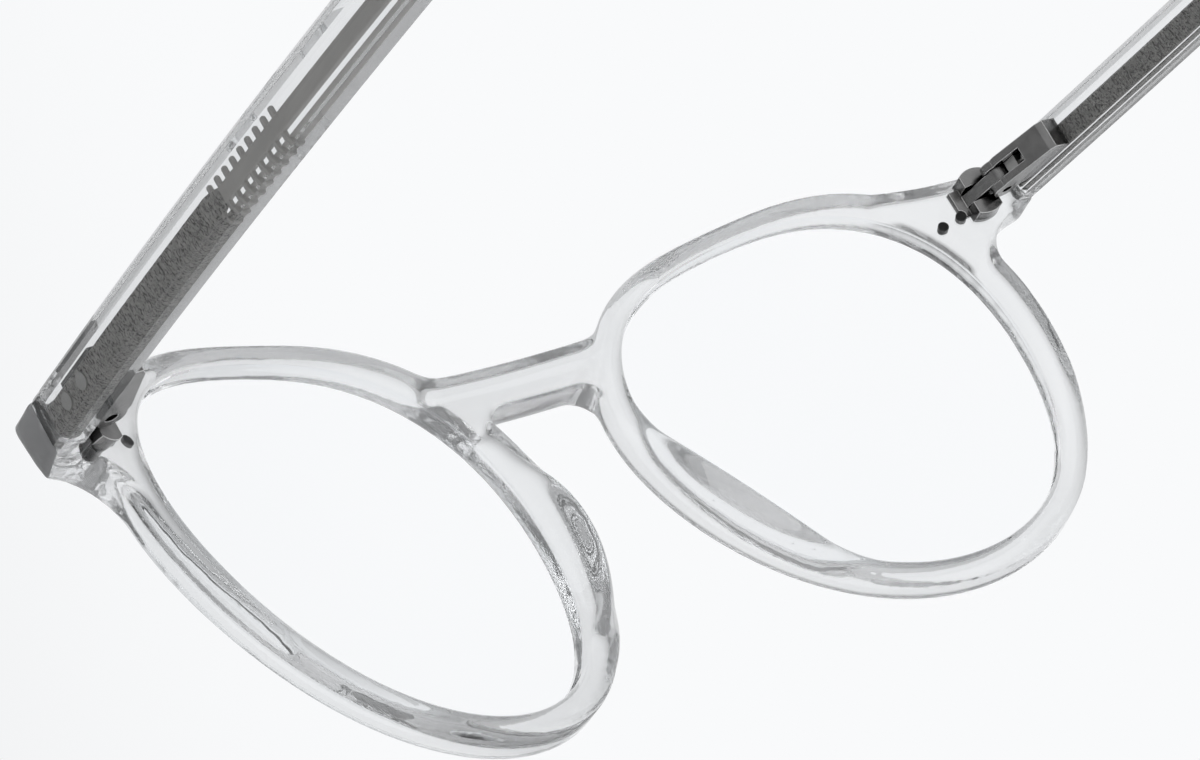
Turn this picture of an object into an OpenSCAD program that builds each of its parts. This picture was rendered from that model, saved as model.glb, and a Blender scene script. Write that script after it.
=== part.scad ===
// Clear round eyeglasses with metal-cored temples and riveted spring hinges.
// Millimetres. +Z is up, the lenses face -Y, the temples run towards +Y, and +X is the wearer's left.
// The glasses stand on a table, on their rims and temple tips, and the origin is below their middle.
// Each side is drawn once, for +X, and mirrored for -X.

/* [Front] */
// Distance from the middle of the bridge to a lens centre
lens_x = 34; // [32:0.1:36]
// Mean radius of a rim opening
lens_r = 23.5; // [22:0.1:24]
// How much the openings narrow towards the bottom of the egg shape
egg = 0.04; // [0:0.005:0.05]
// How much the openings are pulled in at the four sides
squareness = 0.014; // [0:0.002:0.02]
// Radius of the ball that the front is bent to
base_r = 152.5; // [130:0.5:200]
// Thickness of the front
front_t = 3.8; // [3.4:0.1:4.4]
// Mean width of a rim
rim_w = 3; // [2.6:0.1:3.6]
// Height of the middle of the bridge above the lens centres
bridge_z = 14.8; // [13:0.1:16]
// Height of the bridge from its lower to its upper edge
bridge_h = 5; // [3.5:0.1:6]

/* [Lenses] */
// Thickness of a lens
lens_t = 2; // [1.6:0.1:2.4]
// Depth of the groove in the rim
groove = 0.7; // [0.4:0.1:0.9]
// Height of a nose pad behind the rim
pad_h = 3.2; // [2:0.1:4]

/* [Temples] */
// Distance from the middle of the bridge to the middle of a temple at its hinge
hinge_x = 64.5; // [63:0.1:66]
// Height of the temples above the lens centres at the hinge
hinge_z = 12.3; // [11:0.1:14]
// Distance from the front's face to the butt joint of a temple
end_depth = 5; // [4.8:0.1:5.4]
// Height of a temple
temple_h = 5.2; // [4.8:0.1:5.8]
// Thickness of a temple
temple_t = 3.5; // [3.3:0.1:4]
// Downward slope of the temples from the plane across the lenses
slope = 13.9; // [10:0.1:16]
// Outward lean of the open temples
splay = 3; // [1:0.1:5]
// Radius of the gentle inward bow of a temple, seen from above
bow_r = 850; // [700:10:2000]
// Length of a temple before its ear bend
straight_l = 95; // [90:1:104]
// Radius and turn of the ear bend
ear_r = 35; // [30:1:60]
ear_turn = 38; // [15:1:45]
// Length of the temple tip behind the ear bend
tip_l = 24; // [20:1:30]

/* [Metal core] */
// Width of the hammered strip next to the hinge
strip_w = 2.45; // [2:0.05:3.2]
// Length of the hammered strip
strip_l = 34.2; // [30:0.1:45]
// Width of the blade behind it
blade_w = 1.5; // [1.3:0.1:2]
// Thickness of the core
core_t = 1; // [0.8:0.1:1.2]
// How far the middle of the core lies below the middle of the temple
core_drop = 0.3; // [0:0.05:0.5]

/* [Hinge] */
// Radius of the hinge screw
screw_r = 0.6; // [0.5:0.05:0.65]
// Distance of the hinge screw inside the middle of the temple, and behind the butt joint
screw_in = 3.9; // [3.7:0.1:4.1]
screw_back = 1.5; // [1.4:0.1:1.8]
// Radius of the fork ears round the screw
ear_knuckle = 1.55; // [1.4:0.05:1.6]
// Length and width of the hinge housing
house_l = 9.8; // [9.5:0.1:10.5]
house_w = 3.4; // [3.2:0.1:3.6]
// Width of the slot between the fork ears
slot_w = 1.6; // [1.5:0.05:1.8]

/* [Resting] */
// Backward lean of the front that puts the temple tips on the table
lean = 6.19; // [-5:0.01:10]

/* [Hidden] */
$fn = 64;

// Clearance between pieces that fit inside each other
fit = 0.02;
// Overlap that joins the stretches of one bar, and how much slimmer a temple is behind its ear bend
join = 0.5;
thin = 0.1;
// Turn of each lens plane away from the plane across the front
wrap = asin(lens_x / base_r);
lens_y = base_r * (1 - cos(wrap));
// The butt joint's middle
hinge_y = base_r - sqrt(base_r * base_r - hinge_x * hinge_x - hinge_z * hinge_z) + end_depth;
// Middle of the box, front to back, and the lift onto the table
mid_y = 74.853;
lift = 26.323;

acetate = [0.93, 0.94, 0.95, 0.35];
gunmetal = [0.34, 0.34, 0.34];
steel = [0.52, 0.51, 0.49];

// Rim opening and rim width, by the angle round the lens from the temple side towards the top
function opening(a) =
    lens_r * (1 - 0.006 * cos(3 * a) - squareness * cos(4 * a) + egg * sin(3 * a));
function rim(a) = rim_w - 0.38 * sin(a) + 0.6 * cos(2 * a) + 0.26 * sin(3 * a);
function ring(grow, rims) = [for (a = [0:5:355])
    let (r = opening(a) + grow + rims * rim(a)) [r * cos(a), r * sin(a)]];
function arc(x, y, r, from, to, n) = [for (i = [0:n])
    let (a = from + (to - from) * i / n) [x + r * cos(a), y + r * sin(a)]];
function mirrored(p) = [for (i = [len(p) - 1:-1:0]) [-p[i][0], p[i][1]]];

// Places: the standing glasses, one side of them, a lens plane and the butt joint of a temple
module stand() translate([0, -mid_y, lift]) rotate([lean, 0, 0]) children();
module side(s) stand() mirror([s < 0 ? 1 : 0, 0, 0]) children();
module at_lens() translate([lens_x, lens_y, 0]) rotate([0, 0, wrap]) children();
module at_butt() translate([hinge_x, hinge_y, hinge_z]) rotate([-slope, 0, -splay]) children();
module at_screw() at_butt() translate([-screw_in, screw_back, 0]) children();

// A flat outline in the XZ plane, made a plate from y0 back to y1
module slab(y0, y1) translate([0, y1, 0]) rotate([90, 0, 0]) linear_extrude(y1 - y0) children();
// A flat outline seen from above, made a plate from z0 up to z1
module plan(z0, z1) translate([0, 0, z0]) linear_extrude(z1 - z0) children();
// The bent layer between two depths below the front's face
module layer(d0, d1) translate([0, base_r, 0]) difference() {
    sphere(base_r - d0, $fn = 360);
    sphere(base_r - d1, $fn = 360);
}

// Front frame
module rim_plate(grow, rims) at_lens() slab(-6, 14) polygon(ring(grow, rims));

bridge_lo = bridge_z - bridge_h / 2;
bridge_hi = bridge_z + bridge_h / 2;
function bridge_half() = concat(
    arc(9.2, bridge_hi + 10, 10, -90, -46, 8), [[20, 18], [16, 6], [11, 6]],
    arc(4.8, bridge_lo - 3.2, 3.2, -12, 90, 10));
module bridge_outline() polygon(concat(bridge_half(), mirrored(bridge_half())));

arm_hi = hinge_z + temple_h / 2;
arm_lo = hinge_z - temple_h / 2;
module arm_outline() polygon(concat(
    [[44, 21], [42, 10], [50, 2], [56, 3.5]],
    arc(64.3, arm_lo - 5, 5, 182, 90, 10),
    [[hinge_x + 3, arm_lo]],
    arc(84.8, arm_hi + 80.9, 83, -101.5, -115.5, 6)));

module end_block() intersection() {
    translate([0, base_r, 0]) sphere(base_r);
    at_butt() plan(-temple_h / 2, temple_h / 2)
        polygon([[temple_t / 2, 0], [-temple_t / 2, 0], [-4.4, -3.2], [-4.4, -9], [temple_t / 2, -9]]);
}
module front_half() {
    intersection() {
        layer(0, front_t);
        rim_plate(0, 1);
    }
    intersection() {
        layer(0, front_t);
        slab(0, 30) arm_outline();
        at_butt() translate([-30 + temple_t / 2, -30, -20]) cube([30, 30, 40]);
    }
    end_block();
}
module groove_cut() intersection() {
    layer(front_t / 2 - 0.55, front_t / 2 + 0.55);
    rim_plate(groove + 0.05, 0);
}
module both() {
    children();
    mirror([1, 0, 0]) children();
}
module front_frame() color(acetate) stand() difference() {
    union() {
        both() front_half();
        intersection() {
            layer(0, front_t);
            slab(-1, 12) bridge_outline();
        }
    }
    both() {
        rim_plate(0, 0);
        groove_cut();
        leaf_shape(fit);
        for (u = rivet_at) at_rivet(u) translate([0, 0, -fit]) cylinder(h = 6, r = rivet_r + fit);
    }
}

// Lens with a bevel that sits in the rim's groove
module lens(s) color([0.95, 0.97, 1, 0.2]) side(s) {
    intersection() {
        layer((front_t - lens_t) / 2, (front_t + lens_t) / 2);
        rim_plate(-0.05, 0);
    }
    intersection() {
        layer(front_t / 2 - 0.5, front_t / 2 + 0.5);
        rim_plate(groove, 0);
    }
}

// Nose pad: a low dome built up behind the nasal side of the rim
pad_a = 198;
pad_len = 14;
pad_ball = (pad_len * pad_len + pad_h * pad_h) / 2 / pad_h;
pad_rr = opening(pad_a) + rim(pad_a) / 2;
module nose_pad(s) color(acetate) side(s) intersection() {
    layer(front_t + fit, front_t + pad_h + 2);
    at_lens() translate([pad_rr * cos(pad_a), front_t + pad_h + 1.9 - pad_ball, pad_rr * sin(pad_a)])
        sphere(pad_ball, $fn = 240);
    at_lens() slab(0, 14) difference() {
        polygon(ring(0.3, 0.95));
        polygon(ring(0.3, 0));
    }
}

// Front leaf: a plate let into the end piece, two half-round lobes and a folded centre knuckle
leaf_x = -3.7;
leaf_y = -3.1;
leaf_turn = 27;
lobe_r = 2.8;
module at_leaf() at_butt() translate([leaf_x, leaf_y, 0]) rotate([0, 0, leaf_turn]) children();
module leaf_plate(grow) at_leaf()
    translate([-2.7 - grow, -0.7 - grow, -1.7 - grow]) cube([4.4 + 2 * grow, 1.2 + 2 * grow, 3.4 + 2 * grow]);
module lobes(grow) at_leaf() intersection() {
    rotate([-90, 0, 0]) translate([0, 0, -0.7 - grow]) cylinder(h = 3.1 + 2 * grow, r = lobe_r + grow);
    translate([-1.5 - grow, -2, -4]) cube([3 + 2 * grow, 9, 8]);
}
module knuckle_outline() {
    circle(1.35);
    polygon([[-1.3, 0.3], [1.1, 0.8], [1.6, -2.6], [0.6, -4.9], [-1.4, -4.9]]);
}
module leaf_shape(grow) {
    leaf_plate(grow);
    lobes(grow);
    at_screw() plan(-0.7 - grow, 0.7 + grow) knuckle_outline();
}
module front_leaf(s) color(gunmetal) side(s) difference() {
    union() {
        difference() {
            union() {
                leaf_plate(0);
                lobes(0);
            }
            at_leaf() translate([-3, 0.5, -0.95]) cube([6, 6, 1.9]);
            at_screw() cylinder(h = 8, r = ear_knuckle + 0.25, center = true);
        }
        at_screw() plan(-0.7, 0.7) knuckle_outline();
    }
    at_screw() cylinder(h = 4, r = screw_r + 0.05, center = true);
    for (u = rivet_at) at_rivet(u) translate([0, 0, -fit]) cylinder(h = 6, r = rivet_r + fit);
}

// Front rivets: two short pins in the back of the end piece, one beside the leaf and one at its plate
rivet_r = 0.62;
rivet_l = 1.1;
rivet_at = [[-57, 12], [-59.4, 12]];
module at_rivet(u) {
    tilt = asin(-u[0] / base_r);
    translate([-u[0], base_r - sqrt(base_r * base_r - u[0] * u[0] - u[1] * u[1]), u[1]])
        rotate([0, 0, tilt]) rotate([-90, 0, 0]) translate([0, 0, front_t - rivet_l]) children();
}
module front_rivets(s) color(steel) side(s) for (u = rivet_at)
    at_rivet(u) cylinder(h = rivet_l - 0.1, r = rivet_r);

// A bar that follows a temple's bow, from one distance behind the butt joint to another
module along(s0, s1) translate([-bow_r, 0, 0]) rotate([0, 0, s0 / bow_r * 180 / PI])
    rotate_extrude(angle = (s1 - s0) / bow_r * 180 / PI, $fn = 720) translate([bow_r, 0]) children();
module at_run(s) translate([-bow_r, 0, 0]) rotate([0, 0, s / bow_r * 180 / PI])
    translate([bow_r, 0, 0]) children();
// The ear bend, and the frame behind it
module ear_bend() at_run(straight_l) translate([0, 0, -ear_r]) rotate([0, -90, 0])
    rotate_extrude(angle = ear_turn, $fn = 360) translate([ear_r, 0]) children();
module at_tip() at_run(straight_l) translate([0, ear_r * sin(ear_turn), ear_r * (cos(ear_turn) - 1)])
    rotate([-ear_turn, 0, 0]) children();

// Bevelled bar section: thickness across, height up
module bevelled(t, h, c) polygon([[-t / 2 + c, -h / 2], [t / 2 - c, -h / 2], [t / 2, -h / 2 + c],
    [t / 2, h / 2 - c], [t / 2 - c, h / 2], [-t / 2 + c, h / 2], [-t / 2, h / 2 - c], [-t / 2, -h / 2 + c]]);
module temple_bar() {
    t = temple_t - thin;
    h = temple_h - thin;
    along(0, straight_l) bevelled(temple_t, temple_h, 0.5);
    at_run(straight_l) slab(-join, 0) bevelled(t, h, 0.5);
    ear_bend() bevelled(h, t, 0.5);
    at_tip() {
        slab(0, tip_l - temple_h / 2) bevelled(t, h, 0.5);
        translate([0, tip_l - temple_h / 2, 0]) rotate([0, 90, 0])
            cylinder(h = temple_t - 1, d = h - 0.2, center = true);
    }
}
module temple(s) color(acetate) side(s) difference() {
    at_butt() temple_bar();
    at_butt() core_shape(fit);
    at_butt() translate([-screw_in, screw_back, 0]) house_body(fit);
    temple_pins(fit);
}

// Metal core: hammered strip, chamfered into a blade with a row of short cross ribs
chamfer_l = 2.3;
rib_n = 9;
rib_pitch = 1.37;
rib_w = 0.4;
rib_out = 0.9;
module core_bar(w, t) translate([0, -core_drop]) square([t, w], center = true);
module core_shape(grow) {
    w = strip_w + 2 * grow;
    b = blade_w + 2 * grow;
    t = core_t + 2 * grow;
    along(1 - grow, strip_l) core_bar(w, t);
    at_run(strip_l) rotate([0, 90, 0]) translate([core_drop, 0, -t / 2]) linear_extrude(t)
        polygon([[-w / 2, 0], [-b / 2, chamfer_l], [b / 2, chamfer_l], [w / 2, 0]]);
    along(strip_l, straight_l) core_bar(b, t);
    at_run(straight_l) slab(-join, 0) core_bar(b - thin, t - thin);
    ear_bend() rotate([0, 0, -90]) core_bar(b - thin, t - thin);
    at_tip() slab(0, tip_l - 6 + grow) core_bar(b - thin, t - thin);
    for (i = [0:rib_n - 1]) at_run(strip_l + chamfer_l / 2 + i * rib_pitch) translate([0, 0, -core_drop])
        cube([t - 0.2, rib_w + 2 * grow, b + 2 * rib_out], center = true);
}
module temple_core(s) color(steel) side(s) difference() {
    at_butt() core_shape(0);
    temple_pins(fit);
}

// Hinge housing: a block on the inside of the temple with two fork ears and a window
house_in = screw_in - temple_t / 2;
house_back = house_l + 0.05 - screw_back;
module house_body(grow) {
    translate([0, 0, -house_w / 2 - grow]) cylinder(h = house_w + 2 * grow, r = ear_knuckle);
    plan(-house_w / 2 - grow, house_w / 2 + grow) polygon([[-1.2, 0.2], [-1.45, 1.6], [-0.6, 5.5], [-0.15, house_back - 0.7], [0.35, house_back],
        [house_in + 0.8, house_back], [house_in + 0.8, 2.4], [house_in, 1.8], [1, 0.2]]);
}
window_l = 4.6;
bore_r = 0.72;
module hinge_housing(s) color(gunmetal) side(s) difference() {
    at_screw() house_body(0);
    at_screw() translate([-6, -3, -slot_w / 2]) cube([12, 3 + window_l, slot_w]);
    at_screw() translate([0.8, window_l - 1, 0]) rotate([-90, 0, 0]) cylinder(h = 4.2, r = bore_r);
    at_screw() translate([0, 0, -house_w]) cylinder(h = 2 * house_w, r = screw_r + 0.01);
    at_screw() translate([0, 0, house_w / 2 - 0.45]) cylinder(h = 2, r = 1.02);
    temple_pins(fit);
}

// Hinge screw: countersunk at the top, its end inside the lower ear
module hinge_screw(s) color(steel) side(s) at_screw() {
    translate([0, 0, -house_w / 2 + 0.4]) cylinder(h = house_w - 0.8, r = screw_r);
    translate([0, 0, house_w / 2 - 0.44]) cylinder(h = 0.4, r = 1);
}

// Plunger that presses on the knuckle, its guide pin, and the coil spring round the pin
plunger_y = 1.55;
plunger_l = 1.6;
module plunger(s) color(steel) side(s) at_screw() difference() {
    translate([-0.2, plunger_y, -slot_w / 2 + 0.04]) cube([2, plunger_l, slot_w - 0.08]);
    translate([0.8, plunger_y + 0.8, 0]) rotate([-90, 0, 0]) cylinder(h = 3, r = pin_r + 0.01);
}
pin_r = 0.25;
module guide_pin(s) color(steel) side(s) at_screw()
    translate([0.8, plunger_y + 0.8, 0]) rotate([-90, 0, 0]) cylinder(h = 3.2, r = pin_r);
wire_r = 0.13;
coil_r = 0.48;
coil_n = 7;
spring_l = 7.7 - plunger_y - plunger_l - 4 * wire_r;
function coil_point(t, a) = let (turn = 360 * coil_n * t, r = coil_r + wire_r * cos(a))
    [r * cos(turn), r * sin(turn), spring_l * t + wire_r * sin(a)];
module coil() {
    steps = coil_n * 12;
    sides = 6;
    points = [for (i = [0:steps], j = [0:sides - 1]) coil_point(i / steps, j * 360 / sides)];
    walls = [for (i = [0:steps - 1], j = [0:sides - 1]) let (k = (j + 1) % sides)
        [i * sides + j, (i + 1) * sides + j, (i + 1) * sides + k, i * sides + k]];
    polyhedron(points, concat(walls, [[for (j = [0:sides - 1]) j],
        [for (j = [sides - 1:-1:0]) steps * sides + j]]), convexity = 10);
}
module spring(s) color("silver") side(s) at_screw()
    translate([0.8, plunger_y + plunger_l + 2 * wire_r, 0]) rotate([-90, 0, 0]) coil();

// Temple rivets: two pins from the outer face of the core into the housing
module temple_pins(grow) for (y = [4.6, 8]) at_butt() translate([-temple_t / 2 - 0.25, y, -core_drop])
    rotate([0, 90, 0]) {
        cylinder(h = temple_t / 2 + 0.95 + grow, r = 0.55 + grow);
        translate([0, 0, temple_t / 2 + 0.25 + core_t / 2]) cylinder(h = 0.35 + grow, r = 0.8 + grow);
    }
module temple_rivets(s) color(steel) side(s) temple_pins(0);

front_frame();
lens(1);  // lens_left
lens(-1);  // lens_right
nose_pad(1);  // nose_pad_left
nose_pad(-1);  // nose_pad_right
front_leaf(1);  // front_leaf_left
front_leaf(-1);  // front_leaf_right
front_rivets(1);  // front_rivets_left
front_rivets(-1);  // front_rivets_right
temple(1);  // temple_left
temple(-1);  // temple_right
temple_core(1);  // temple_core_left
temple_core(-1);  // temple_core_right
hinge_housing(1);  // hinge_housing_left
hinge_housing(-1);  // hinge_housing_right
hinge_screw(1);  // hinge_screw_left
hinge_screw(-1);  // hinge_screw_right
plunger(1);  // plunger_left
plunger(-1);  // plunger_right
guide_pin(1);  // guide_pin_left
guide_pin(-1);  // guide_pin_right
spring(1);  // spring_left
spring(-1);  // spring_right
temple_rivets(1);  // temple_rivets_left
temple_rivets(-1);  // temple_rivets_right
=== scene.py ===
import math

import bpy
import numpy as np
from mathutils import Matrix, Vector, noise


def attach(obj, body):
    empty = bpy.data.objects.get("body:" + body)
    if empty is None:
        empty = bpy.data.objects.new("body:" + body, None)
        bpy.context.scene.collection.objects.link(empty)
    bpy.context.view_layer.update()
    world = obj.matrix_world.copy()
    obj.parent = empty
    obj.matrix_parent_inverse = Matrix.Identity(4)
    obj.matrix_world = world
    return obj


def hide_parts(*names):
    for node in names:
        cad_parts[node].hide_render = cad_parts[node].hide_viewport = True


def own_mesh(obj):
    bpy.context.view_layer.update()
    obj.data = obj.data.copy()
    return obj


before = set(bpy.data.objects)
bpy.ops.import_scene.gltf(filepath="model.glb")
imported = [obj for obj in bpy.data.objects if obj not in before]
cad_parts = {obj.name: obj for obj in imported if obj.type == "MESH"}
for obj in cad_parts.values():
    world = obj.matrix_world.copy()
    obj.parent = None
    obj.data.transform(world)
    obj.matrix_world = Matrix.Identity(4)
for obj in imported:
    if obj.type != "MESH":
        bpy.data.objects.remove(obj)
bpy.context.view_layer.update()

# ---------------------------------------------------------------- dimensions, in mm and degrees
MM = 0.001  # metres in a millimetre
# rims and lenses
LENS_X = 34.0  # lens centre to the middle of the bridge
LENS_R = 23.5  # mean radius of the rim's opening
LOPSIDED, SQUARENESS, EGG = 0.006, 0.014, 0.04  # how the opening leaves the circle, as shares of it
BASE_R = 152.5  # ball that the front's face lies on
FRONT_T = 3.8
RIM_W = 3.0
EDGE = 0.8  # rounding of the front's edges
THIN_EDGE = 0.5  # the same, at the end pieces
LENS_T = 2.0
GROOVE, GROOVE_R = 0.7, 0.58  # depth and radius of the lens groove
# bridge
BRIDGE_Z = 14.8
BRIDGE_H = 5.0
# end pieces and hinges
HINGE_X, HINGE_Z = 64.5, 12.3
END_DEPTH = 5.0  # butt joint behind the front's face
SLOPE, SPLAY = 13.9, 3.0  # of the temples, down and outward
BLOCK_IN = 4.4  # inner side of the end block
BLOCK_EDGE = 0.35
# temples
TEMPLE_H, TEMPLE_T = 5.2, 3.5
BEVEL = 0.5
CORNER_R = 0.08  # rounding of the bevelled section's corners
BOW_R = 850.0
STRAIGHT_L = 95.0
EAR_R, EAR_TURN = 35.0, 38.0
TIP_L = 24.0
TEMPLE_L = STRAIGHT_L + EAR_R * math.radians(EAR_TURN) + TIP_L
# metal core
STRIP_W, STRIP_L = 2.45, 34.2  # the hammered part
BLADE_W = 1.5
CORE_T = 1.0
CORE_DROP = 0.3  # core below the section's middle
CHAMFER_L = 2.3
HAMMER_STEP = 0.14
RIB_N, RIB_PITCH = 9, 1.37
RIB_W, RIB_OUT = 0.4, 0.9
# nose pads
PAD_A = math.radians(198.0)  # place on the rim
PAD_LEN, PAD_H = 14.0, 3.8
PAD_LIFT = 1.9  # dome's top above the pad's height, worn away by its fillets
PAD_EDGE = 1.4
# fillets between the parts of the front
BRIDGE_FILLET, BLOCK_FILLET, PAD_FILLET = 0.5, 0.4, 1.6
# how the front's own frame stands in the row frame
LEAN, MID_Y, LIFT = 6.19, 74.853, 26.323

WRAP = math.asin(LENS_X / BASE_R)
LENS_Y = BASE_R * (1 - math.cos(WRAP))
HINGE_Y = BASE_R - math.sqrt(BASE_R**2 - HINGE_X**2 - HINGE_Z**2) + END_DEPTH


def turn_x(deg):
    c, s = math.cos(math.radians(deg)), math.sin(math.radians(deg))
    return np.array([[1, 0, 0], [0, c, -s], [0, s, c]])


def turn_z(deg):
    c, s = math.cos(math.radians(deg)), math.sin(math.radians(deg))
    return np.array([[c, -s, 0], [s, c, 0], [0, 0, 1]])


STAND_R, STAND_O = turn_x(LEAN), np.array([0, -MID_Y, LIFT])
BUTT_R, BUTT_O = turn_z(-SPLAY) @ turn_x(-SLOPE), np.array([HINGE_X, HINGE_Y, HINGE_Z])


def stand(p):
    """From the front's own frame, in mm, to the row frame, in metres."""
    return (np.asarray(p) @ STAND_R.T + STAND_O) * MM


def from_butt(p, side):
    """From a temple's butt joint frame to the row frame, in metres; side is 1 or -1."""
    q = np.asarray(p) @ BUTT_R.T + BUTT_O
    return stand(q) * [side, 1, 1]


def unit(v):
    return v / np.maximum(np.linalg.norm(v, axis=1, keepdims=True), 1e-9)


# ---------------------------------------------------------------- meshes
SMOOTH_POINTS, SMOOTH_NORMALS = 4, 12  # rounds of averaging between neighbours


def link(ob):
    bpy.context.scene.collection.objects.link(ob)
    return ob


def add_mesh(name, verts, faces, sharp=None, normals=None):
    """A smooth-shaded object; edges above sharp degrees stay sharp, or normals are given."""
    me = bpy.data.meshes.new(name)
    me.from_pydata([tuple(v) for v in verts], [], [tuple(int(i) for i in f) for f in faces])
    me.validate()
    me.update()
    me.polygons.foreach_set("use_smooth", [True] * len(me.polygons))
    if sharp is not None:
        me.set_sharp_from_angle(angle=math.radians(sharp))
    if normals is not None:
        me.normals_split_custom_set_from_vertices([tuple(n) for n in normals])
    return link(bpy.data.objects.new(name, me))


def sweep(sections):
    """Quads between equal rings of points, with one face at each end."""
    rings, n = len(sections), len(sections[0])
    verts = np.concatenate(sections)
    faces = []
    for i in range(rings - 1):
        for j in range(n):
            k = (j + 1) % n
            faces.append((i * n + j, i * n + k, (i + 1) * n + k, (i + 1) * n + j))
    faces.append(tuple(range(n - 1, -1, -1)))
    faces.append(tuple((rings - 1) * n + j for j in range(n)))
    return verts, faces


def facing(faces, side):
    """Faces of a swept mesh, turned so that they face outward on the side it is built for."""
    return faces if side < 0 else [tuple(reversed(f)) for f in faces]


def sum_at(index, values, count):
    """Sums of the rows of values that share an index."""
    return np.stack([np.bincount(index, values[:, k], count) for k in range(values.shape[1])], 1)


def samples(field, low, high, step, block=6):
    """A grid of the field's values, worked out only in the blocks of cells near its surface."""
    blocks = np.ceil((np.asarray(high) - low) / (step * block)).astype(int)
    grid = np.empty(blocks * block, np.float32)
    offsets = np.stack(np.meshgrid(*[np.arange(block)] * 3, indexing="ij"), -1).reshape(-1, 3)
    index = np.stack(np.meshgrid(*[np.arange(b) for b in blocks], indexing="ij"), -1).reshape(-1, 3)
    far = field(low + (index * block + (block - 1) / 2) * step)
    half_diagonal = step * block * 0.87
    reach = half_diagonal * 1.5
    for sign in (1, -1):
        clear = index[far * sign >= reach]
        for o in offsets:
            i = clear * block + o
            grid[i[:, 0], i[:, 1], i[:, 2]] = sign * reach
    near = index[np.abs(far) < reach]
    for part in np.array_split(near, max(1, len(near) // 2000)):
        i = (part[:, None, :] * block + offsets[None]).reshape(-1, 3)
        grid[i[:, 0], i[:, 1], i[:, 2]] = field(low + i * step)
    return grid


def crossed_cells(inside):
    """The grid's cells that the surface passes through, and the number of each in a grid."""
    total = np.zeros(np.array(inside.shape) - 1, np.int8)
    part = [slice(0, -1), slice(1, None)]
    for x in (0, 1):
        for y in (0, 1):
            for z in (0, 1):
                total += inside[part[x], part[y], part[z]]
    active = (total > 0) & (total < 8)
    cells = np.argwhere(active)
    number = np.full(active.shape, -1, np.int64)
    number[active] = np.arange(len(cells))
    return cells, number


def cell_corners(grid, cells):
    """One point for each cell: the mean of the places where its edges cross the surface."""
    total, hits = np.zeros((len(cells), 3)), np.zeros(len(cells))
    for axis in range(3):
        a, b = [k for k in range(3) if k != axis]
        for p in (0, 1):
            for q in (0, 1):
                start = cells.copy()
                start[:, a] += p
                start[:, b] += q
                end = start.copy()
                end[:, axis] += 1
                g0, g1 = grid[tuple(start.T)], grid[tuple(end.T)]
                hit = (g0 < 0) != (g1 < 0)
                point = start.astype(float)
                point[:, axis] += np.where(hit, g0 / np.where(hit, g0 - g1, 1), 0)
                total += point * hit[:, None]
                hits += hit
    return total / hits[:, None]


def cell_quads(inside, number):
    """A quad round each grid edge that crosses the surface."""
    size = inside.shape
    quads = []
    for axis, a, b in ((0, 1, 2), (1, 2, 0), (2, 0, 1)):
        start, end = [slice(None)] * 3, [slice(None)] * 3
        start[axis], end[axis] = slice(0, -1), slice(1, None)
        at = np.argwhere(inside[tuple(start)] != inside[tuple(end)])
        at = at[(at[:, a] > 0) & (at[:, b] > 0) & (at[:, a] < size[a] - 1) & (at[:, b] < size[b] - 1)]
        ring = []
        for back_a, back_b in ((1, 1), (0, 1), (0, 0), (1, 0)):
            cell = at.copy()
            cell[:, a] -= back_a
            cell[:, b] -= back_b
            ring.append(number[tuple(cell.T)])
        ring = np.stack(ring, 1)
        entering = ~inside[tuple(at.T)]
        ring[entering] = ring[entering][:, ::-1]
        quads.append(ring)
    quads = np.concatenate(quads)
    return quads[(quads >= 0).all(1)]


def onto_surface(field, verts, step, rounds=3, eps=0.02):
    """Moves each point along the field's gradient to where the field is zero."""
    for _ in range(rounds):
        ahead = [field(verts + eps * np.eye(3)[k]) for k in range(3)]
        behind = [field(verts - eps * np.eye(3)[k]) for k in range(3)]
        gradient = np.stack([(f - b) / (2 * eps) for f, b in zip(ahead, behind)], 1)
        square = np.maximum((gradient * gradient).sum(1), 0.2)
        move = field(verts)[:, None] * gradient / square[:, None]
        length = np.linalg.norm(move, axis=1, keepdims=True)
        verts = verts - move * np.minimum(1, 0.5 * step / np.maximum(length, 1e-9))
    return verts


def field_mesh(field, low, high, step):
    """The zero surface of a distance-like field: points, quads and softened outward normals."""
    low = np.asarray(low, float)
    grid = samples(field, low, high, step)
    inside = grid < 0
    cells, number = crossed_cells(inside)
    verts = onto_surface(field, low + cell_corners(grid, cells) * step, step)
    quads = cell_quads(inside, number)
    edges = np.concatenate([quads[:, [k, (k + 1) % 4]] for k in range(4)])
    ends, count = np.bincount(edges.ravel(), minlength=len(verts))[:, None], len(verts)

    def averaged(values):
        there = sum_at(edges[:, 0], values[edges[:, 1]], count)
        return (there + sum_at(edges[:, 1], values[edges[:, 0]], count)) / ends

    for _ in range(SMOOTH_POINTS):
        verts = (verts + averaged(verts)) / 2
    across = np.cross(verts[quads[:, 2]] - verts[quads[:, 0]], verts[quads[:, 3]] - verts[quads[:, 1]])
    normals = sum(sum_at(quads[:, k], across, count) for k in range(4))
    for _ in range(SMOOTH_NORMALS):
        normals = unit(normals)
        normals = (normals + averaged(normals)) / 2
    return verts, quads, unit(normals)


# ---------------------------------------------------------------- distance functions
def arc(x, y, r, a0, a1, n):
    """Points on an arc round (x, y) from the angle a0 to a1, in degrees."""
    angles = [math.radians(a0 + (a1 - a0) * i / n) for i in range(n + 1)]
    return [(x + r * math.cos(a), y + r * math.sin(a)) for a in angles]


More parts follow.
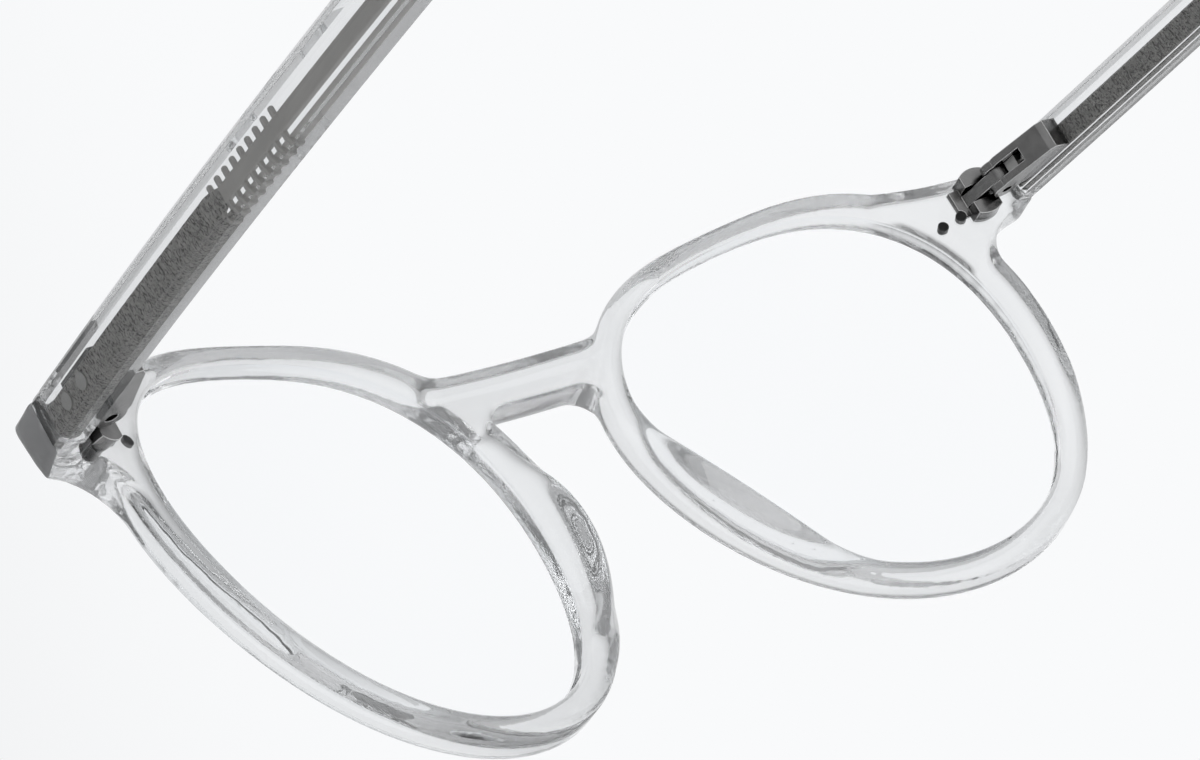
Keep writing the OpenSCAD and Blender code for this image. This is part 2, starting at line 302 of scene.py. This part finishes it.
def polygon_distance(points, x, z):
    """Signed distance to a closed polygon, negative inside."""
    best = np.full(x.shape, 1e9)
    inside = np.zeros(x.shape, bool)
    for (ax, az), (bx, bz) in zip(points, points[1:] + points[:1]):
        ex, ez = bx - ax, bz - az
        wx, wz = x - ax, z - az
        t = np.clip((wx * ex + wz * ez) / (ex * ex + ez * ez), 0, 1)
        best = np.minimum(best, (wx - ex * t) ** 2 + (wz - ez * t) ** 2)
        cross = (az > z) != (bz > z)
        with np.errstate(divide="ignore", invalid="ignore"):
            inside ^= cross & (x < ax + ex * (z - az) / (ez if ez else 1e-12))
    return np.where(inside, -1, 1) * np.sqrt(best)


def smooth_min(a, b, k):
    """Union of two shapes, with a fillet about k wide where they meet."""
    h = np.maximum(k - np.abs(a - b), 0) / k
    return np.minimum(a, b) - h * h * k / 4


def smooth_max(a, b, k):
    """Intersection of two shapes, with an edge softened over about k."""
    return -smooth_min(-a, -b, k)


def rounded(a, b, r):
    """Intersection of two shapes with a true round edge of radius r."""
    p, q = a + r, b + r
    return np.minimum(np.maximum(p, q), 0) + np.hypot(np.maximum(p, 0), np.maximum(q, 0)) - r


# ---------------------------------------------------------------- front
def opening(a):
    """Radius of the rim's opening at the angle a, egg-shaped and slightly square."""
    return LENS_R * (1 - LOPSIDED * np.cos(3 * a) - SQUARENESS * np.cos(4 * a) + EGG * np.sin(3 * a))


def rim(a):
    """Width of the rim at the angle a: heavier below and beside the nose."""
    return RIM_W - 0.38 * np.sin(a) + 0.6 * np.cos(2 * a) + 0.26 * np.sin(3 * a)


def bridge_outline():
    """The bridge with its fillets into the rims, closed inside the rims."""
    low, high = BRIDGE_Z - BRIDGE_H / 2, BRIDGE_Z + BRIDGE_H / 2
    inside_rim = [(20, 18), (16, 6), (11, 6)]
    half = arc(9.2, high + 10, 10, -90, -46, 24) + inside_rim + arc(4.8, low - 3.2, 3.2, -12, 90, 24)
    return half + [(-x, z) for x, z in reversed(half)]


def arm_outline():
    """The end piece: a fillet up from the rim, its underside, and a long curve back to the rim."""
    low, high = HINGE_Z - TEMPLE_H / 2, HINGE_Z + TEMPLE_H / 2
    inside_rim = [(44, 21), (42, 10), (50, 2), (56, 3.5)]
    under = arc(64.16, low - 5, 5, 182, 90, 30) + [(HINGE_X + 3, low)]
    return inside_rim + under + arc(84.8, high + 80.9, 83, -101.5, -115.5, 12)


def block_outline():
    """The end block from above, in the butt joint's frame, chamfered on its inner side."""
    half, front = TEMPLE_T / 2, -9
    return [(half, 3), (-half, 3), (-half, 0), (-BLOCK_IN, -3.2), (-BLOCK_IN, front), (half, front)]


BRIDGE, ARM, BLOCK = bridge_outline(), arm_outline(), block_outline()


def lens_plane(p):
    """Coordinates across, through and up a lens, from the lens centre."""
    x = np.abs(p[:, 0]) - LENS_X
    y = p[:, 1] - LENS_Y
    c, s = math.cos(WRAP), math.sin(WRAP)
    return x * c + y * s, -x * s + y * c, p[:, 2]


def end_block(q, depth, edge):
    """The block that the temple butts against, bevelled as the temple is on its outer side."""
    block = rounded(polygon_distance(BLOCK, q[:, 0], q[:, 1]), np.abs(q[:, 2]) - TEMPLE_H / 2, BLOCK_EDGE)
    bevel = np.abs(q[:, 0]) + np.abs(q[:, 2]) - TEMPLE_T / 2 - TEMPLE_H / 2 + BEVEL
    outer = q[:, 0] >= 0
    block = np.where(outer, np.maximum(block, bevel / math.sqrt(2)), block)
    return rounded(block, -depth, edge)


def nose_pad(u, w, v, r, a, depth):
    """A low dome on the nasal rim, cut by the rim's two sides, which slope inward."""
    pad_r = opening(PAD_A) + rim(PAD_A) / 2
    ball = (PAD_LEN**2 + PAD_H**2) / 2 / PAD_H
    across, up = u - pad_r * math.cos(PAD_A), v - pad_r * math.sin(PAD_A)
    through = w - FRONT_T - PAD_H - PAD_LIFT + ball
    dome = np.sqrt(across**2 + up**2 + through**2) - ball
    slope = 0.35 * np.maximum(w - FRONT_T, 0)
    hole = opening(a)
    sides = np.maximum(r - hole - 0.3 - 0.95 * rim(a) + slope, hole + 0.1 - r - 0.15 * slope)
    return rounded(sides, np.maximum(dome, FRONT_T / 2 - depth), PAD_EDGE)


def front_field(p):
    """Distance to the clear front with its pads, in the front's own frame."""
    x, y, z = np.abs(p[:, 0]), p[:, 1], p[:, 2]
    depth = BASE_R - np.sqrt(x * x + (y - BASE_R) ** 2 + z * z)
    u, w, v = lens_plane(p)
    r, a = np.hypot(u, v), np.arctan2(v, u)
    hole = opening(a)
    q = (np.stack([x, y, z], 1) - BUTT_O) @ BUTT_R
    outline = smooth_min(r - hole - rim(a), polygon_distance(BRIDGE, x, z), BRIDGE_FILLET)
    # the arm's edge leans with the rim's, which stands square on the lens
    arm_x = x + (depth - FRONT_T / 2) * math.tan(WRAP)
    arm = smooth_max(polygon_distance(ARM, arm_x, z), q[:, 0] - TEMPLE_T / 2, 0.3)
    outline = np.maximum(np.minimum(outline, arm), hole - r)
    plate = np.abs(depth - FRONT_T / 2) - FRONT_T / 2
    edge = np.interp(x, [57, 62], [EDGE, THIN_EDGE])
    body = smooth_min(rounded(outline, plate, edge), end_block(q, depth, edge), BLOCK_FILLET)
    body = smooth_min(body, nose_pad(u, w, v, r, a, depth), PAD_FILLET)
    groove = np.hypot(r - hole - (GROOVE - GROOVE_R), depth - FRONT_T / 2) - GROOVE_R
    body = smooth_max(body, -groove, 0.2)
    return rounded(body, q[:, 1], 0.2)


# ---------------------------------------------------------------- temples
def bow_frame(s):
    """Place and axes of the section along the temple's first part, which bows slightly inward."""
    a = s / BOW_R
    return np.array([-BOW_R + BOW_R * math.cos(a), BOW_R * math.sin(a), 0]), turn_z(math.degrees(a))


def temple_frame(s):
    """Place and axes of the temple's section, s mm behind the butt joint."""
    if s <= STRAIGHT_L:
        return bow_frame(s)
    base, axes = bow_frame(STRAIGHT_L)
    b = min((s - STRAIGHT_L) / EAR_R, math.radians(EAR_TURN))
    at = np.array([0, EAR_R * math.sin(b), EAR_R * (math.cos(b) - 1)])
    rest = s - STRAIGHT_L - b * EAR_R
    at = at + np.array([0, math.cos(b), -math.sin(b)]) * rest
    return base + axes @ at, axes @ turn_x(-math.degrees(b))


def bevelled(t, h, c):
    """A rectangle t by h with its corners cut by c."""
    return [(-t / 2 + c, -h / 2), (t / 2 - c, -h / 2), (t / 2, -h / 2 + c), (t / 2, h / 2 - c),
            (t / 2 - c, h / 2), (-t / 2 + c, h / 2), (-t / 2, h / 2 - c), (-t / 2, -h / 2 + c)]


def round_polygon(points, r, n):
    """A closed outline whose corners are rounded with radius r, and its outward directions."""
    out, outward = [], []
    m = len(points)
    for i in range(m):
        p = np.array(points[i], float)
        a, b = np.array(points[i - 1], float) - p, np.array(points[(i + 1) % m], float) - p
        a, b = a / np.linalg.norm(a), b / np.linalg.norm(b)
        half = math.acos(max(-1, min(1, a @ b))) / 2
        cut = r / math.tan(half)
        centre = p + (a + b) / np.linalg.norm(a + b) * r / math.sin(half)
        first, last = p + a * cut - centre, p + b * cut - centre
        t0, t1 = math.atan2(first[1], first[0]), math.atan2(last[1], last[0])
        d = (t1 - t0 + math.pi) % (2 * math.pi) - math.pi
        angles = [t0 + d * k / n for k in range(n + 1)]
        turns = [np.array([math.cos(t), math.sin(t)]) for t in angles]
        out += [centre + r * e for e in turns]
        outward += turns
    return np.array(out), np.array(outward)


def turned(section, s):
    """Section directions, s mm behind the butt joint, in the butt joint's frame."""
    flat = np.stack([section[:, 0], np.zeros(len(section)), section[:, 1]], 1)
    return flat @ temple_frame(s)[1].T


def place(section, s):
    """Section points, s mm behind the butt joint, in the butt joint's frame."""
    return turned(section, s) + temple_frame(s)[0]


def temple_rings():
    """Rings of points along a temple, and the outward direction at each point."""
    full, out = round_polygon(bevelled(TEMPLE_T, TEMPLE_H, BEVEL), CORNER_R, 3)
    size = np.array([TEMPLE_T, TEMPLE_H])
    forward = np.array([0, -0.6, 0])
    rings, normals = [], []
    # the first three rings round the butt end's edge
    for inset, s, facing_forward in ((0.24, 0.0, 2), (0.07, 0.035, 1), (0.0, 0.12, 0)):
        rings.append(place(full * (1 - inset / size), s))
        normals.append(turned(out, 0) + facing_forward * forward)
    for s in np.arange(1, STRAIGHT_L, 1.0):
        rings.append(place(full, s))
        normals.append(turned(out, s))
    slim = 1 - 0.1 / size
    tip_start, slimming_l = TEMPLE_L - TEMPLE_H / 2, 12
    for s in np.arange(STRAIGHT_L, tip_start, 0.8):
        share = min((s - STRAIGHT_L) / slimming_l, 1)
        rings.append(place(full * (1 + (slim - 1) * share), s))
        normals.append(turned(out, s))
    along = temple_frame(TEMPLE_L)[1] @ np.array([0, 1, 0])
    for b in np.radians(np.linspace(0, 86, 16)):
        c, d = math.cos(b), math.sin(b)
        rings.append(place(full * slim * [0.72 + 0.28 * c, c], tip_start + d * TEMPLE_H / 2 * 0.96))
        normals.append(turned(out, TEMPLE_L) * c + along * d)
    return rings, np.concatenate(normals)


# ---------------------------------------------------------------- metal cores
def flat_section(w, t, n, r=0.15):
    """Rounded flat bar outline with n points along each wide face; w and t are half sizes."""
    def corner(side, up, angles):
        at, height = side * (t - r), up * (w - r)
        return [(at + side * r * math.cos(b), height + up * r * math.sin(b)) for b in np.radians(angles)]

    face = np.linspace(-w + r, w - r, n)
    points = [(t, v) for v in face] + corner(1, 1, [30, 60]) + [(t - r, w), (-t + r, w)]
    points += corner(-1, 1, [60, 30]) + [(-t, v) for v in face[::-1]] + corner(-1, -1, [30, 60])
    return np.array(points + [(-t + r, -w), (t - r, -w)] + corner(1, -1, [60, 30]))


CORE_POINTS = 19  # on each wide face of the core's section


def hammer_marks(section, s, share):
    """Pushes the section's points in and out a little, as a hammered face is."""
    for point in section:
        at = Vector((math.copysign(7, point[0]), s * 1.5 + point[1] * 0.6, point[1] * 3.2 - s * 0.4))
        mark = noise.noise(at * 1.1) * 0.6 + noise.noise(at * 2.6) * 0.4
        point *= [1 + share * 0.09 * mark, 1 + share * 0.012 * mark]


def core_mesh():
    """The core, from its hammered strip to the tip, and the first corner of its smooth blade."""
    rings = [(s, STRIP_W, 1) for s in np.arange(1.0, STRIP_L, HAMMER_STEP)]
    for k in np.linspace(0, 1, 17):
        # the strip's corner is round where its chamfer starts
        narrowing = 0.35 * k + 0.65 * k * k
        rings.append((STRIP_L + k * CHAMFER_L, STRIP_W - (STRIP_W - BLADE_W) * narrowing, 1 - k**4))
    hammered_rings = len(rings)
    blade_start, blade_end = STRIP_L + CHAMFER_L + 0.5, TEMPLE_L - 6
    rings += [(s, BLADE_W, 0) for s in np.arange(blade_start, blade_end, 1.5)]
    out = []
    for s, width, marks in rings:
        section = flat_section(width / 2, CORE_T / 2, CORE_POINTS)
        if marks:
            hammer_marks(section, s, marks)
        out.append(place(section - [0, CORE_DROP], s))
    verts, faces = sweep(out)
    return verts, faces, (hammered_rings - 1) * len(out[0])


def rib_mesh(i):
    """One of the cross ribs just behind the hammered strip, its edges slightly rounded."""
    s = STRIP_L + CHAMFER_L / 2 + i * RIB_PITCH
    section = flat_section(BLADE_W / 2 + RIB_OUT, CORE_T / 2 - 0.1, 3, 0.2)
    half, edge = RIB_W / 2, 0.07
    ends = ((-half, 0.95), (-half + edge, 1), (half - edge, 1), (half, 0.95))
    return sweep([place(section * size - [0, CORE_DROP], s + o) for o, size in ends])


# ---------------------------------------------------------------- lenses
def on_ball(u, v, depth):
    """Points of the lens plane carried along its normal to the ball, depth below the front's face."""
    c, s = math.cos(WRAP), math.sin(WRAP)
    x, y = LENS_X + u * c, LENS_Y + u * s - BASE_R
    b = -x * s + y * c
    t = -b - np.sqrt(b * b - (x * x + y * y + v * v - (BASE_R - depth) ** 2))
    return np.stack([x - s * t, y + BASE_R + c * t, v * np.ones_like(u)], 1)


def lens_mesh():
    """A lens with a ridge round its edge that sits in the rim's groove."""
    middle, half = FRONT_T / 2, LENS_T / 2
    angles = np.linspace(0, 2 * math.pi, 240, endpoint=False)
    shares = np.linspace(0.02, 1, 26)

    def ring(depth, grow, share=1.0):
        r = (opening(angles) + grow) * share
        return on_ball(r * np.cos(angles), r * np.sin(angles), depth)

    rings = [ring(middle - half, -0.05, k) for k in shares]
    ridge = GROOVE - 0.06
    rings += [ring(middle + d, g) for d, g in ((-0.5, 0.0), (-0.12, ridge), (0.12, ridge), (0.5, 0.0))]
    return sweep(rings + [ring(middle + half, -0.05, k) for k in shares[::-1]])


# ---------------------------------------------------------------- node helpers
def grey(v):
    return (v, v, v, 1)


def material(name, color, metallic=0.0, rough=0.4, **extra):
    """A Principled material: its own object, its node tree and its shader node."""
    m = bpy.data.materials.new(name)
    m.use_nodes = True
    b = m.node_tree.nodes["Principled BSDF"]
    b.inputs["Base Color"].default_value = (*color, 1)
    b.inputs["Metallic"].default_value = metallic
    b.inputs["Roughness"].default_value = rough
    for k, v in extra.items():
        b.inputs[k.replace("_", " ")].default_value = v
    return m, m.node_tree, b


def ramp(nt, source, stops):
    r = nt.nodes.new("ShaderNodeValToRGB")
    nt.links.new(source, r.inputs["Fac"])
    elements = r.color_ramp.elements
    for element, (position, color) in zip(elements, stops[:2]):
        element.position, element.color = position, color
    for position, color in stops[2:]:
        elements.new(position).color = color
    return r


def noise_tex(nt, scale, detail=3.0, rough=0.5, stretch=None):
    tc = nt.nodes.new("ShaderNodeTexCoord")
    mp = nt.nodes.new("ShaderNodeMapping")
    nt.links.new(tc.outputs["Object"], mp.inputs["Vector"])
    if stretch:
        mp.inputs["Scale"].default_value = stretch
    t = nt.nodes.new("ShaderNodeTexNoise")
    t.inputs["Scale"].default_value = scale
    t.inputs["Detail"].default_value = detail
    t.inputs["Roughness"].default_value = rough
    nt.links.new(mp.outputs["Vector"], t.inputs["Vector"])
    return t


def tone(nt, target, texture, stops):
    """Colours an input of a shader by a ramp over the texture."""
    r = ramp(nt, texture.outputs["Fac"], stops)
    nt.links.new(r.outputs["Color"], target)


def bump(nt, bsdf, height, strength, distance):
    b = nt.nodes.new("ShaderNodeBump")
    b.inputs["Strength"].default_value = strength
    b.inputs["Distance"].default_value = distance
    nt.links.new(height, b.inputs["Height"])
    nt.links.new(b.outputs["Normal"], bsdf.inputs["Normal"])


def combine(nt, how, a, b=None, constant=None):
    """Two colours multiplied or added; the second may be a constant."""
    mix = nt.nodes.new("ShaderNodeMix")
    mix.data_type, mix.blend_type = "RGBA", how
    mix.inputs[0].default_value = 1.0
    nt.links.new(a, mix.inputs[6])
    if constant:
        mix.inputs[7].default_value = constant
    else:
        nt.links.new(b, mix.inputs[7])
    return mix.outputs[2]


def dot_product(nt, vector, direction):
    """The dot product of a vector output with a direction, or with another vector output."""
    dot = nt.nodes.new("ShaderNodeVectorMath")
    dot.operation = "DOT_PRODUCT"
    nt.links.new(vector, dot.inputs[0])
    if isinstance(direction, np.ndarray):
        dot.inputs[1].default_value = Vector(direction)
    else:
        nt.links.new(direction, dot.inputs[1])
    return dot.outputs["Value"]


def mix_shaders(nt, share, first, second):
    """Mixes two shaders into the material's output; share is a number or an output."""
    mix = nt.nodes.new("ShaderNodeMixShader")
    if isinstance(share, float):
        mix.inputs["Fac"].default_value = share
    else:
        nt.links.new(share, mix.inputs["Fac"])
    nt.links.new(first, mix.inputs[1])
    nt.links.new(second, mix.inputs[2])
    nt.links.new(mix.outputs["Shader"], nt.nodes["Material Output"].inputs["Surface"])
    return mix.outputs["Shader"]


# ---------------------------------------------------------------- materials
def clear_acetate(name, ior, straight):
    """Clear acetate; a part of the light, straight, passes through without being bent."""
    m, nt, b = material(name, (0.88, 0.89, 0.9), rough=0.0, Transmission_Weight=1.0, IOR=ior)
    cloud = noise_tex(nt, 60, 1)
    tone(nt, b.inputs["Base Color"], cloud, [(0.3, (0.87, 0.88, 0.888, 1)), (0.7, (0.895, 0.9, 0.905, 1))])
    through = nt.nodes.new("ShaderNodeBsdfTransparent")
    through.inputs["Color"].default_value = (0.945, 0.95, 0.953, 1)
    return m, nt, mix_shaders(nt, straight, b.outputs["BSDF"], through.outputs["BSDF"])


def front_acetate():
    """The front's acetate; its left end face is painted grey, a painted reflection of the hinge leaf behind
    it.
    """
    m, nt, clear = clear_acetate("front_acetate", 1.44, 0.1)
    outward = STAND_R @ BUTT_R[:, 0]
    place_along = dot_product(nt, nt.nodes["Texture Coordinate"].outputs["Object"], outward)
    face_at = stand(BUTT_O) @ outward + TEMPLE_T / 2 * MM
    near_end = nt.nodes.new("ShaderNodeMapRange")
    near_end.inputs["From Min"].default_value = face_at - 0.4 * MM
    near_end.inputs["From Max"].default_value = face_at - 0.2 * MM
    near_end.inputs["To Max"].default_value = 0.85
    nt.links.new(place_along, near_end.inputs["Value"])
    # painted reflection: a dark grey shader mixed in near the end face stands in for the mirrored hinge leaf
    painted_reflection = nt.nodes.new("ShaderNodeBsdfPrincipled")
    painted_reflection.inputs["Base Color"].default_value = (0.21, 0.212, 0.215, 1)
    painted_reflection.inputs["Roughness"].default_value = 0.18
    mix_shaders(nt, near_end.outputs["Result"], clear, painted_reflection.outputs["BSDF"])
    return m


def lens_clear():
    m, nt, b = material("lens_clear", (0.99, 0.995, 1.0), rough=0.0, Transmission_Weight=1.0, IOR=1.05)
    cloud = noise_tex(nt, 30, 2)
    tone(nt, b.inputs["Base Color"], cloud, [(0.3, (0.985, 0.99, 0.995, 1)), (0.7, (0.995, 0.998, 1.0, 1))])
    return m


def hammered_core():
    m, nt, b = material("hammered_core", (0.3, 0.29, 0.28), metallic=0.3, rough=0.6)
    marks = noise_tex(nt, 3400, 2.5, 0.55, (1, 1.5, 0.65))
    marks.inputs["Distortion"].default_value = 1.2
    # painted shade and highlight: the colour follows the hammer marks' height, dark in their hollows and
    # light on their ridges
    shaded_hollow, face, ridge = (0.11, 0.108, 0.103, 1), (0.44, 0.432, 0.418, 1), (0.57, 0.56, 0.542, 1)
    tone(nt, b.inputs["Base Color"], marks, [(0.38, shaded_hollow), (0.5, face), (0.64, ridge)])
    bump(nt, b, marks.outputs["Fac"], 0.9, 0.25 * MM)
    return m


def core_blade():
    m, nt, b = material("core_blade", (0.42, 0.412, 0.4), metallic=0.5, rough=0.45)
    grain = noise_tex(nt, 900, 3, 0.6, (1, 0.12, 1))
    tone(nt, b.inputs["Base Color"], grain, [(0.3, (0.53, 0.52, 0.503, 1)), (0.7, (0.6, 0.588, 0.57, 1))])
    bump(nt, b, grain.outputs["Fac"], 0.05, 0.1 * MM)
    return m


def gunmetal():
    """Dark plated metal, with a painted highlight along its edges and painted shade in tight corners."""
    m, nt, b = material("gunmetal", (0.33, 0.325, 0.32), metallic=1.0, rough=0.24)
    cloud = noise_tex(nt, 900, 3, 0.5)
    tone(nt, b.inputs["Roughness"], cloud, [(0.3, grey(0.2)), (0.7, grey(0.26))])
    plating = ramp(nt, cloud.outputs["Fac"], [(0.3, (0.27, 0.268, 0.266, 1)), (0.7, (0.33, 0.327, 0.324, 1))])
    bevel = nt.nodes.new("ShaderNodeBevel")
    bevel.inputs["Radius"].default_value = 0.16 * MM
    bevel.samples = 6
    nt.links.new(bevel.outputs["Normal"], b.inputs["Normal"])
    flat = nt.nodes.new("ShaderNodeNewGeometry")
    flatness = dot_product(nt, bevel.outputs["Normal"], flat.outputs["Normal"])
    # painted highlight: base colour made lighter where the bevel normal leaves the true normal, along edges
    painted_edge_highlight = ramp(nt, flatness, [(0.9, (0.95, 0.94, 0.92, 1)), (0.985, grey(0))])
    # painted shade: base colour darkened where ambient occlusion finds nearby parts, in corners and hollows
    near = nt.nodes.new("ShaderNodeAmbientOcclusion")
    near.inputs["Distance"].default_value = 1.6 * MM
    near.samples = 8
    painted_corner_shade = ramp(nt, near.outputs["AO"], [(0.35, grey(0.01)), (0.8, grey(1.0))])
    lighter = combine(nt, "ADD", plating.outputs["Color"], painted_edge_highlight.outputs["Color"])
    shaded = combine(nt, "MULTIPLY", lighter, painted_corner_shade.outputs["Color"])
    nt.links.new(shaded, b.inputs["Base Color"])
    return m


def rivet_steel():
    """Plain steel of the rivets, screws, plungers, pins and springs."""
    m, nt, b = material("rivet_steel", (0.55, 0.55, 0.54), metallic=1.0, rough=0.35)
    tone(nt, b.inputs["Roughness"], noise_tex(nt, 1800, 3), [(0.3, grey(0.3)), (0.7, grey(0.42))])
    return m


def floor_paint():
    """A pale matt floor that is clear from below, where the photo's camera looks from."""
    m, nt, b = material("floor", (0.9, 0.9, 0.9), rough=0.7)
    geometry = nt.nodes.new("ShaderNodeNewGeometry")
    clear = nt.nodes.new("ShaderNodeBsdfTransparent")
    mix_shaders(nt, geometry.outputs["Backfacing"], b.outputs["BSDF"], clear.outputs["BSDF"])
    return m


# ---------------------------------------------------------------- pieces
def build_front(paint):
    step = 0.28
    verts, quads, normals = field_mesh(front_field, (-68.5, -1.5, -28.5), (68.5, 27, 25.5), step)
    ob = add_mesh("acetate_front", stand(verts), quads, normals=normals @ STAND_R.T)
    ob.data.materials.append(paint)
    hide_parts("front_frame", "nose_pad_left", "nose_pad_right")
    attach(ob, "front")


def build_temple(side, word, paint):
    rings, normals = temple_rings()
    verts, faces = sweep(rings)
    normals = normals @ BUTT_R.T @ STAND_R.T * [side, 1, 1]
    ob = add_mesh("acetate_temple_" + word, from_butt(verts, side), facing(faces, side), normals=normals)
    ob.data.materials.append(paint)
    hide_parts("temple_" + word)
    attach(ob, "temple_body_" + word)


def build_core(side, word, hammered, blade):
    verts, faces, blade_from = core_mesh()
    ob = add_mesh("core_" + word, from_butt(verts, side), facing(faces, side), sharp=40)
    ob.data.materials.append(hammered)
    ob.data.materials.append(blade)
    for poly in ob.data.polygons:
        if min(poly.vertices) >= blade_from:
            poly.material_index = 1
    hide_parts("temple_core_" + word)
    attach(ob, "temple_body_" + word)
    for i in range(RIB_N):
        verts, faces = rib_mesh(i)
        ob = add_mesh(f"core_rib_{word}_{i + 1}", from_butt(verts, side), facing(faces, side), sharp=40)
        ob.data.materials.append(blade)
        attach(ob, "temple_body_" + word)


def build_lens(side, word, paint):
    verts, faces = lens_mesh()
    ob = add_mesh("clear_lens_" + word, stand(verts * [side, 1, 1]), facing(faces, side), sharp=25)
    ob.data.materials.append(paint)
    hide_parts("lens_" + word)
    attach(ob, "front")


def paint_node(name, paint):
    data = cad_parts[name].data
    data.materials.clear()
    data.materials.append(paint)
    for poly in data.polygons:
        poly.material_index = 0


def build_coil(side, word):
    """The CAD's coil as a piece of its own."""
    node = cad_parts["spring_" + word]
    coil = link(bpy.data.objects.new("coil_" + word, node.data.copy()))
    coil.matrix_world = node.matrix_world.copy()
    axis = STAND_R @ BUTT_R[:, 1] * [side, 1, 1]
    turns = np.array([node.matrix_world @ v.co for v in node.data.vertices])
    along = turns @ axis
    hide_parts("spring_" + word)
    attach(coil, "temple_body_" + word)
    turns[along.argmax()].tolist()
    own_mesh(coil)


SIDES = ((1, "left"), (-1, "right"))
temple_acetate = clear_acetate("clear_acetate", 1.45, 0.08)[0]
dark, steel = gunmetal(), rivet_steel()
hammered, blade, lens_paint = hammered_core(), core_blade(), lens_clear()
build_front(front_acetate())
for side, word in SIDES:
    build_temple(side, word, temple_acetate)
    build_core(side, word, hammered, blade)
for side, word in SIDES:
    build_lens(side, word, lens_paint)
    for node in ("hinge_housing_", "front_leaf_", "front_rivets_"):
        paint_node(node + word, dark)
    for node in ("temple_rivets_", "hinge_screw_", "plunger_", "guide_pin_", "spring_"):
        paint_node(node + word, steel)
    build_coil(side, word)

# ---------------------------------------------------------------- camera
CAM_AT = (224.9502, 217.9627, -136.1384)  # in the front's own frame
CAM_TURN = Vector((-1.2110, -1.2548, 2.7371))  # rotation vector, camera axes with y down
LENS_MM, SENSOR_MM = 101.65, 36


def build_camera():
    """The photo's camera; gives back the direction from the glasses to it."""
    turn = Matrix.Rotation(CAM_TURN.length, 3, CAM_TURN)
    axes = STAND_R @ np.array(turn).T * [1, -1, -1]
    cam = link(bpy.data.objects.new("camera", bpy.data.cameras.new("camera")))
    pose = np.eye(4)
    pose[:3, :3], pose[:3, 3] = axes, stand(np.array(CAM_AT))
    cam.matrix_world = Matrix(pose.tolist())
    cam.data.sensor_width, cam.data.lens = SENSOR_MM, LENS_MM
    cam.data.clip_start, cam.data.clip_end = 0.005, 20
    bpy.context.scene.camera = cam
    return axes[:, 2]


toward_camera = build_camera()

# ---------------------------------------------------------------- world, floor and lights
# greyer parts of the studio, in the front's own frame
DARK_SIDE = STAND_R @ np.array([0.72, -0.56, 0.40])
FAR_SIDE = STAND_R @ np.array([-0.668, 0.612, 0.424])


def build_world():
    """A white studio with soft grey patches, which the clear acetate bends into its outlines."""
    world = bpy.data.worlds.new("studio")
    bpy.context.scene.world = world
    world.use_nodes = True
    nt = world.node_tree
    background = nt.nodes["Background"]
    tc = nt.nodes.new("ShaderNodeTexCoord")

    def lobe(direction, stops):
        """A grey that depends on how near the world's direction is to the one given."""
        half = nt.nodes.new("ShaderNodeMath")
        half.operation = "MULTIPLY_ADD"
        half.inputs[1].default_value, half.inputs[2].default_value = 0.5, 0.5
        nt.links.new(dot_product(nt, tc.outputs["Generated"], direction), half.inputs[0])
        r = ramp(nt, half.outputs[0], stops)
        r.color_ramp.interpolation = "EASE"
        return r.outputs["Color"]

    side_grey = lobe(DARK_SIDE, [(0.55, grey(1.0)), (0.88, grey(0.42))])
    back_grey = lobe(toward_camera, [(0.5, grey(1.0)), (1.0, grey(0.6))])
    far_grey = lobe(FAR_SIDE, [(0.82, grey(1.0)), (0.97, grey(0.4))])
    sides = combine(nt, "MULTIPLY", side_grey, far_grey)
    product = combine(nt, "MULTIPLY", sides, back_grey)
    tinted = combine(nt, "MULTIPLY", product, constant=(0.948, 0.956, 0.966, 1))
    nt.links.new(tinted, background.inputs["Color"])
    background.inputs["Strength"].default_value = 1.0


def build_floor():
    half, below = 3, -0.0002
    corners = [(-half, -half, below), (half, -half, below), (half, half, below), (-half, half, below)]
    floor = add_mesh("floor", corners, [(0, 1, 2, 3)])
    floor.data.materials.append(floor_paint())


def build_lamp(name, at, size, power):
    """A round lamp aimed at the glasses; clear acetate and metal show the plain studio instead of it."""
    light = bpy.data.lights.new(name, "AREA")
    light.shape, light.size, light.energy = "DISK", size, power
    ob = bpy.data.objects.new(name, light)
    ob.location = at
    ob.rotation_mode = "QUATERNION"
    ob.rotation_quaternion = (Vector((0, 0, 0.02)) - Vector(at)).to_track_quat("-Z", "Y")
    ob.visible_glossy = ob.visible_transmission = False
    link(ob)


build_world()
build_floor()
build_lamp("key", (0.5, 0.4, 0.9), 0.5, 1.2)
build_lamp("fill", (-0.7, 0.3, 0.5), 0.6, 0.5)
bpy.context.scene.view_settings.view_transform = "Standard"
